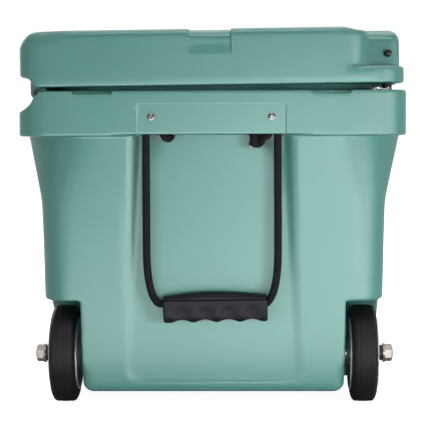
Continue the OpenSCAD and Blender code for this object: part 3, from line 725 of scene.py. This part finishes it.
latch_grid = (even(209, 239, 0.9), even(-30, 30, 0.9), even(344, 447, 1.0))
for end_name, end in ENDS:
    show(solid(f"{end_name}_rubber_latch", latch_shape, latch_grid, black_rubber, latch_place(end)),
         f"{end_name}_latch", "black_rubber", f"{end_name}_latch")

# ---------------------------------------------------------------- grips

GRIP_L = 128.5
GRIP_Y = 359.2
GRIP_Z = 110
SEAM_Z = 138.5
GRIP_SHIFT = 3.5
GRIP_TILT = math.radians(0.85)
GRIP_HALF, GRIP_BORE_R = 14.2, 5.3
CROWN_Z, CROWN_DROP = 148, 5.4
FINGER_PITCH, FINGER_R, FINGER_DEPTH, FINGER_SHIFT = 28.8, 15, 4.3, 1.6
SCOOP_R, SCOOP_OUT, SCOOP_TOP = 22, 32.5, 120


def grip_shape(x, y, z):
    """Lower part of the grip, with four finger hollows below and a scoop outside each."""
    across_y = np.abs(y) - GRIP_Y
    bar = plan(across_y, z - SEAM_Z - 14, GRIP_HALF, 42.5, 12.5)
    bar = meet(bar, z - SEAM_Z + 0.2, 0.7)
    bar = meet(bar, np.abs(x) - GRIP_L / 2, 3)
    for i in (-1.5, -0.5, 0.5, 1.5):
        finger_x = x - FINGER_SHIFT - i * FINGER_PITCH
        hollow = np.hypot(finger_x, z - (GRIP_Z - FINGER_R + FINGER_DEPTH)) - FINGER_R
        bar = cut(bar, hollow, 2.5)
        above = np.maximum(z - SCOOP_TOP, 0)
        scoop = np.sqrt(finger_x ** 2 + (across_y - SCOOP_OUT) ** 2 + above ** 2)
        bar = cut(bar, scoop - SCOOP_R, 2)
    bore = np.hypot(np.abs(y) - ROPE_Y - 2, z - GRIP_ROPE_Z) - GRIP_BORE_R
    return cut(bar, bore, 0.8)


def cover_shape(x, y, z):
    """Arched cap that closes the grip over the rope."""
    across_y = np.abs(y) - GRIP_Y
    crown = CROWN_Z - CROWN_DROP * (x / (GRIP_L / 2)) ** 2 - across_y ** 2 * 0.012
    cap = meet(np.abs(across_y) - GRIP_HALF, z - crown, 4.5)
    cap = meet(cap, SEAM_Z + 0.2 - z, 0.7)
    return meet(cap, np.abs(x) - GRIP_L / 2, 2.5)


def tilt_grip(points, turn_only=False):
    """The grip hangs a little to the latch side of the middle, with that side higher."""
    pivot = np.zeros(3) if turn_only else np.array([0, 0, GRIP_ROPE_Z])
    c, s = math.cos(GRIP_TILT), math.sin(GRIP_TILT)
    moved = points - pivot
    turned = np.stack([moved[:, 0] * c - moved[:, 2] * s, moved[:, 1],
                       moved[:, 0] * s + moved[:, 2] * c], axis=1)
    return turned if turn_only else turned + pivot + np.array([GRIP_SHIFT, 0, 0])


for end_name, end in ENDS:
    ys = even(GRIP_Y - GRIP_HALF, GRIP_Y + GRIP_HALF, 0.9)
    grip_grid = (even(-GRIP_L / 2, GRIP_L / 2, 1.1), np.sort(end * ys), even(GRIP_Z, SEAM_Z, 0.9))
    cover_grid = (even(-GRIP_L / 2, GRIP_L / 2, 1.4), np.sort(end * ys), even(SEAM_Z, CROWN_Z, 0.8))
    grip = show(solid(f"{end_name}_grip_bar", grip_shape, grip_grid, grip_plastic, tilt_grip),
                f"{end_name}_handle", "grip_plastic", f"{end_name}_grip")
    cover = show(solid(f"{end_name}_grip_cap", cover_shape, cover_grid, grip_plastic, tilt_grip),
                 f"{end_name}_handle", "grip_plastic", f"{end_name}_grip_cover")
    sling, line = slings[end_name]

# ---------------------------------------------------------------- wheels

WHEEL_X = 189.5
WHEEL_R, TYRE_IN_R = 61.5, 46
TYRE_HALF = 16
BOSS_R, BORE_R = 15, 10.02
BOSS_IN = node_box("front_bushes")[0][0]
BOSS_OUT = WHEEL_X + 18
HUB_RIM_IN, HUB_RIM_HALF = 39, 18
WEB_RS, WEB_HALF, RIB_HALF, RIB_T = (11, 41), 5, 13, 3.6
HOLES, HOLE_AT, HOLE_R = 6, 27, 6.5


def tyre_profile():
    """Half-round shoulders, a crowned tread with two fine grooves and a step on each sidewall."""
    points = []
    for t in np.linspace(-1, 1, 61):
        crown = WHEEL_R - 1.0 * t ** 2
        shoulder = 6.5 * max(0, (abs(t) - 0.62) / 0.38) ** 2.6
        groove = 0.55 * math.exp(-((abs(t) - 0.42) / 0.025) ** 2)
        points.append((crown - shoulder - groove, TYRE_HALF * t))
    for t in np.linspace(0, 1, 8)[1:]:
        points.append((54 - 8 * t, TYRE_HALF - 0.8 * math.sin(math.pi * t)))
    for t in np.linspace(1, 0, 8)[:-1]:
        points.append((54 - 8 * t, -TYRE_HALF + 0.8 * math.sin(math.pi * t)))
    return points


def hub_shape(x, y, z):
    """Hub of the front wheel: rim, web with six ribs, long boss and a hole between each two ribs."""
    off = x - WHEEL_X
    r = np.hypot(y - AXLE_Y, z - AXLE_Z)
    angle = np.arctan2(z - AXLE_Z, y - AXLE_Y)
    rim = meet(between(r, HUB_RIM_IN, TYRE_IN_R), np.abs(off) - HUB_RIM_HALF, 1.2)
    web = np.maximum(between(r, *WEB_RS), np.abs(off) - WEB_HALF)
    rib = meet(r * np.abs(np.sin(3 * angle)) / 3 - RIB_T / 2, np.abs(off) - RIB_HALF, 1)
    hub = join(join(rim, web, 2.5), np.maximum(rib, between(r, *WEB_RS)), 1.5)
    boss = meet(np.maximum(r - BOSS_R, BORE_R - r), between(x, BOSS_IN, BOSS_OUT), 1)
    hub = join(hub, boss, 1.5)
    share = 2 * np.pi / HOLES
    folded = (angle % share) - share / 2
    hole = np.hypot(r * np.cos(folded) - HOLE_AT, r * np.sin(folded)) - HOLE_R
    return cut(hub, hole, 1)


for wheel, side in (("front", 1), ("back", -1)):
    profile = [(r, side * (WHEEL_X + x)) for r, x in tyre_profile()]
    show(lathe(f"{wheel}_tyre_ring", profile[::side], (0, AXLE_Y, AXLE_Z), 0, tyre_rubber),
         f"{wheel}_wheel", "tyre_rubber", f"{wheel}_tyre")

    def hub_side(x, y, z, side=side):
        return hub_shape(side * x, y, z)
    xs = np.sort(side * even(WHEEL_X - 19, WHEEL_X + 24, 1.2))
    grid = (xs, even(AXLE_Y - TYRE_IN_R, AXLE_Y + TYRE_IN_R, 1.4),
            even(AXLE_Z - TYRE_IN_R, AXLE_Z + TYRE_IN_R, 1.4))
    show(solid(f"{wheel}_hub_disc", hub_side, grid, hub_plastic),
         f"{wheel}_wheel", "hub_plastic", f"{wheel}_hub")

# ---------------------------------------------------------------- nuts and screws


def hex_distance(u, v, apothem):
    """Hexagon with a flat at the top."""
    angles = (math.pi / 6, math.pi / 2, 5 * math.pi / 6)
    sides = [np.abs(u * math.cos(a) + v * math.sin(a)) for a in angles]
    return np.maximum(np.maximum(sides[0], sides[1]), sides[2]) - apothem


# The nuts sit a little further in than the CAD's
NUT_OUT = node_box("axle_nuts")[1][0] - 2
NUT_IN = NUT_OUT - 10
STUD_R, THREAD_PITCH, THREAD_DEPTH = 6, 1.75, 0.28
NUT_HALF = 9.5


def nut_shape(x, y, z):
    """Axle nuts with chamfered corners."""
    ax = np.abs(x)
    u, v = y - AXLE_Y, z - AXLE_Z
    r = np.hypot(u, v)
    nut = meet(hex_distance(v, u, NUT_HALF), between(ax, NUT_IN, NUT_OUT), 0.4)
    nut = meet(nut, (r + 0.6 * (ax - NUT_OUT) - 10.2) / 1.17, 0.3)
    return cut(nut, r - STUD_R - 0.1, 0.6)


def stud_shape(x, y, z):
    """Axle bar, threaded at its ends."""
    ax = np.abs(x)
    r = np.hypot(y - AXLE_Y, z - AXLE_Z)
    angle = np.arctan2(z - AXLE_Z, y - AXLE_Y)
    turns = ax / THREAD_PITCH + angle / (2 * np.pi)
    thread = THREAD_DEPTH * np.abs(turns % 1 * 2 - 1) * (ax > NUT_IN)
    return meet(r - STUD_R + thread, ax - NUT_OUT - 1.2, 0.8)


nut_x = steps([(NUT_IN - 2, NUT_OUT + 4, 0.5)])
nut_grid = (np.sort(np.concatenate([-nut_x, nut_x])), even(-301, -279, 0.6), even(50, 73, 0.6))
show(solid("axle_end_nuts", nut_shape, nut_grid, zinc_steel), "tub", "zinc_steel", "axle_nuts")
bar_x = np.sort(np.concatenate([-nut_x, nut_x, np.linspace(-209, 209, 52)]))
bar_grid = (bar_x, even(AXLE_Y - STUD_R, AXLE_Y + STUD_R, 0.6),
            even(AXLE_Z - STUD_R, AXLE_Z + STUD_R, 0.6))
show(solid("axle_bar", stud_shape, bar_grid, zinc_steel), "tub", "zinc_steel", "axle")


SCREW_HEAD_R, SCREW_SHANK_R, SOCKET_HALF = 4.75, 3, 2.0
SCREW_IN, SCREW_SEAT = -46, -1.6


def screw_shape(x, y, z):
    """Domed screw heads with a hexagonal socket, on their shanks."""
    u, v, out = np.abs(x) - SCREW_X, z - SCREW_Z, np.abs(y) - RIM_Y
    r = np.hypot(u, v)
    head = meet(np.sqrt(r ** 2 + (out + 5.3) ** 2) - 8.3, r - SCREW_HEAD_R, 0.5)
    head = meet(head, SCREW_SEAT - out, 0.2)
    socket = np.maximum(hex_distance(u, v, SOCKET_HALF), 0.7 - out)
    shank = np.maximum(r - SCREW_SHANK_R, between(out, SCREW_IN, 0))
    return np.minimum(cut(head, socket, 0.25), shank)


PIN_IN, PIN_OUT, PIN_R, PIN_HEAD_R = 213, 318, 3, 4.8


def pin_shape(x, y, z):
    """Latch pin with a domed head on the lid's ear."""
    r = np.hypot(x - LATCH_PIVOT[0], z - LATCH_PIVOT[1])
    out = np.abs(y) - PIN_OUT
    head = meet(meet(r - PIN_HEAD_R, np.sqrt(r ** 2 + (out + 6) ** 2) - 7.6, 0.6), -4 - out, 0.2)
    rod = meet(r - PIN_R, between(out, PIN_IN - PIN_OUT, -2), 0.3)
    return np.minimum(head, rod)


pin_ys = steps([(PIN_IN - 2, 312, 4), (312, 322, 0.4)], mirrored=True)
pin_grid = (even(214, 224, 0.4), pin_ys, even(432, 442, 0.4))
show(solid("latch_pin_rods", pin_shape, pin_grid, black_steel, tilt_lid),
     "lid", "bright_steel", "latch_pins")

for end_name, end in ENDS:
    ys = steps([(322, 364, 6), (364, 374.5, 0.35)])
    xs = even(68, 79.5, 0.35)
    grid = (np.sort(np.concatenate([-xs, xs])), np.sort(end * ys), even(357.5, 368, 0.35))
    show(solid(f"{end_name}_button_screws", screw_shape, grid, screw_steel),
         "tub", "bright_steel", f"{end_name}_screws")

# ---------------------------------------------------------------- finishes of the CAD nodes that show

KEPT = {
    foam_inside: ["tub_foam", "lid_foam"],
    shell_plastic: ["tub_fill_plugs", "lid_fill_plug"],
    zinc_steel: ["axle_sleeve", "axle_washers", "foot_screws"],
    bright_steel: ["hinge_pin", "keeper_screws", "lock_screws"],
    screw_steel: ["hinge_pin_caps", "keeper_plates", "lock_plates"],
    brass: ["handle_inserts"],
    black_rubber: ["foot_pads", "drain_gasket", "drain_o_ring"],
    seal_rubber: ["lid_gasket"],
    black_plastic: ["drain_fitting", "drain_nut", "drain_plug", "front_bushes", "back_bushes"],
}
for material, names in KEPT.items():
    for name in names:
        for material_slot in nodes[name].material_slots:
            material_slot.material = material

# ---------------------------------------------------------------- floor and light

FLOOR_R, FLOOR_GLOW = 12.0, 0.93
floor_rings = [0.0, 0.5, 1.0, 2.0, 4.0, 8.0, FLOOR_R]
floor_turns = 48
floor_points = [(0, 0, 0)]
for ring in floor_rings[1:]:
    for k in range(floor_turns):
        a = 2 * math.pi * k / floor_turns
        floor_points.append((ring * math.cos(a) / MM, ring * math.sin(a) / MM, 0))
floor_faces = [(0, 1 + k, 1 + (k + 1) % floor_turns) for k in range(floor_turns)]
for ring in range(len(floor_rings) - 2):
    near, far = 1 + ring * floor_turns, 1 + (ring + 1) * floor_turns
    for k in range(floor_turns):
        after = (k + 1) % floor_turns
        floor_faces.append((near + k, far + k, far + after, near + after))
floor_paint = surface("floor_paint", (0.50, 0.50, 0.50), (0.52, 0.52, 0.52), (0.7, 0.8),
                      [(40, 0.0002, 2)], specular=0.1)
floor_shader = floor_paint.node_tree.nodes["Principled BSDF"]
floor_shader.inputs["Emission Color"].default_value = (1, 1, 1, 1)
floor_shader.inputs["Emission Strength"].default_value = FLOOR_GLOW
floor = add_mesh("floor", np.array(floor_points), floor_faces, floor_paint)
# The bright floor is only looked at: a plain one just below it gives the light that the object catches
for unseen_by in ("visible_diffuse", "visible_glossy", "visible_transmission", "visible_shadow"):
    setattr(floor, unseen_by, False)
card_paint = surface("card_paint", (0.60, 0.60, 0.60), (0.64, 0.64, 0.64), (0.7, 0.8),
                     [(40, 0.0002, 2)], specular=0.1)
card = add_mesh("floor_card", np.array(floor_points) - (0, 0, 0.5), floor_faces, card_paint)
card.visible_camera = False


def area_light(name, place, target, size, power, colour=(1, 1, 1), spread=180):
    data = bpy.data.lights.new(name, "AREA")
    data.shape = "RECTANGLE"
    data.size, data.size_y = size
    data.energy = power
    data.color = colour
    data.spread = math.radians(spread)
    obj = bpy.data.objects.new(name, data)
    obj.location = place
    obj.rotation_mode = "QUATERNION"
    obj.rotation_quaternion = (Vector(target) - Vector(place)).to_track_quat("-Z", "Y")
    scene.collection.objects.link(obj)
    return obj


ROOM_SEEN, ROOM_BEFORE, ROOM_BEHIND = 1.05, 0.10, 0.62
world = bpy.data.worlds.new("studio")
scene.world = world
world.use_nodes = True
tree = world.node_tree
tree.nodes.clear()
seen = tree.nodes.new("ShaderNodeBackground")
seen.inputs["Color"].default_value = (1, 1, 1, 1)
seen.inputs["Strength"].default_value = ROOM_SEEN
fill = tree.nodes.new("ShaderNodeBackground")
fill.inputs["Color"].default_value = (1, 1, 1, 1)
# The camera sees a white room; the object is lit by one that is darkest before the wheel end
towards = tree.nodes.new("ShaderNodeTexCoord")
split = tree.nodes.new("ShaderNodeSeparateXYZ")
level = tree.nodes.new("ShaderNodeMapRange")
level.inputs["From Min"].default_value = -1
level.inputs["To Min"].default_value = ROOM_BEFORE
level.inputs["To Max"].default_value = ROOM_BEHIND
tree.links.new(towards.outputs["Generated"], split.inputs["Vector"])
tree.links.new(split.outputs["Y"], level.inputs["Value"])
tree.links.new(level.outputs["Result"], fill.inputs["Strength"])
path = tree.nodes.new("ShaderNodeLightPath")
choose = tree.nodes.new("ShaderNodeMixShader")
tree.links.new(path.outputs["Is Camera Ray"], choose.inputs["Fac"])
tree.links.new(fill.outputs[0], choose.inputs[1])
tree.links.new(seen.outputs[0], choose.inputs[2])
tree.links.new(choose.outputs[0], tree.nodes.new("ShaderNodeOutputWorld").inputs["Surface"])

key = area_light("key", (1.3, -1.85, 0.26), (0.14, -0.37, 0.14), (0.5, 0.5), 3.0, (0.97, 1, 1),
                 spread=60)
left_key = area_light("left_key", (-1.1, -1.9, 0.3), (0.12, -0.37, 0.16), (0.4, 0.5), 0.8, spread=50)
# The two keys give no highlights, and the next four panels give nothing else
for light in (key, left_key):
    light.visible_glossy = False
gloss = area_light("gloss", (0.5, -2.4, -0.02), (0.1, -0.37, 0.16), (1.2, 0.9), 22)
low_gloss = area_light("low_gloss", (0.35, -1.25, 0.02), (0.35, -1.25, 1.0), (1.5, 1.5), 26)
side_gloss = area_light("side_gloss", (1.9, -1.5, 0.25), (0.2, -0.37, 0.25), (1.6, 0.9), 16)
crown = area_light("crown", (0.0, -1.4, 1.9), (0, -0.37, 0.45), (1.3, 0.25), 9)
for light in (gloss, low_gloss, side_gloss, crown):
    light.visible_diffuse = False
area_light("glint", (0.6, -1.9, 1.1), (0.1, -0.37, 0.3), (0.08, 0.08), 0.6)
area_light("top", (0.2, 0.3, 2.2), (0, 0, 0.3), (1.6, 1.6), 20)
area_light("strip", (-1.9, -1.3, 0.75), (-0.2, -0.3, 0.3), (0.12, 1.1), 1.2)
area_light("rear", (-1.6, 2.2, 1.3), (0, 0, 0.2), (1.6, 1.2), 30)
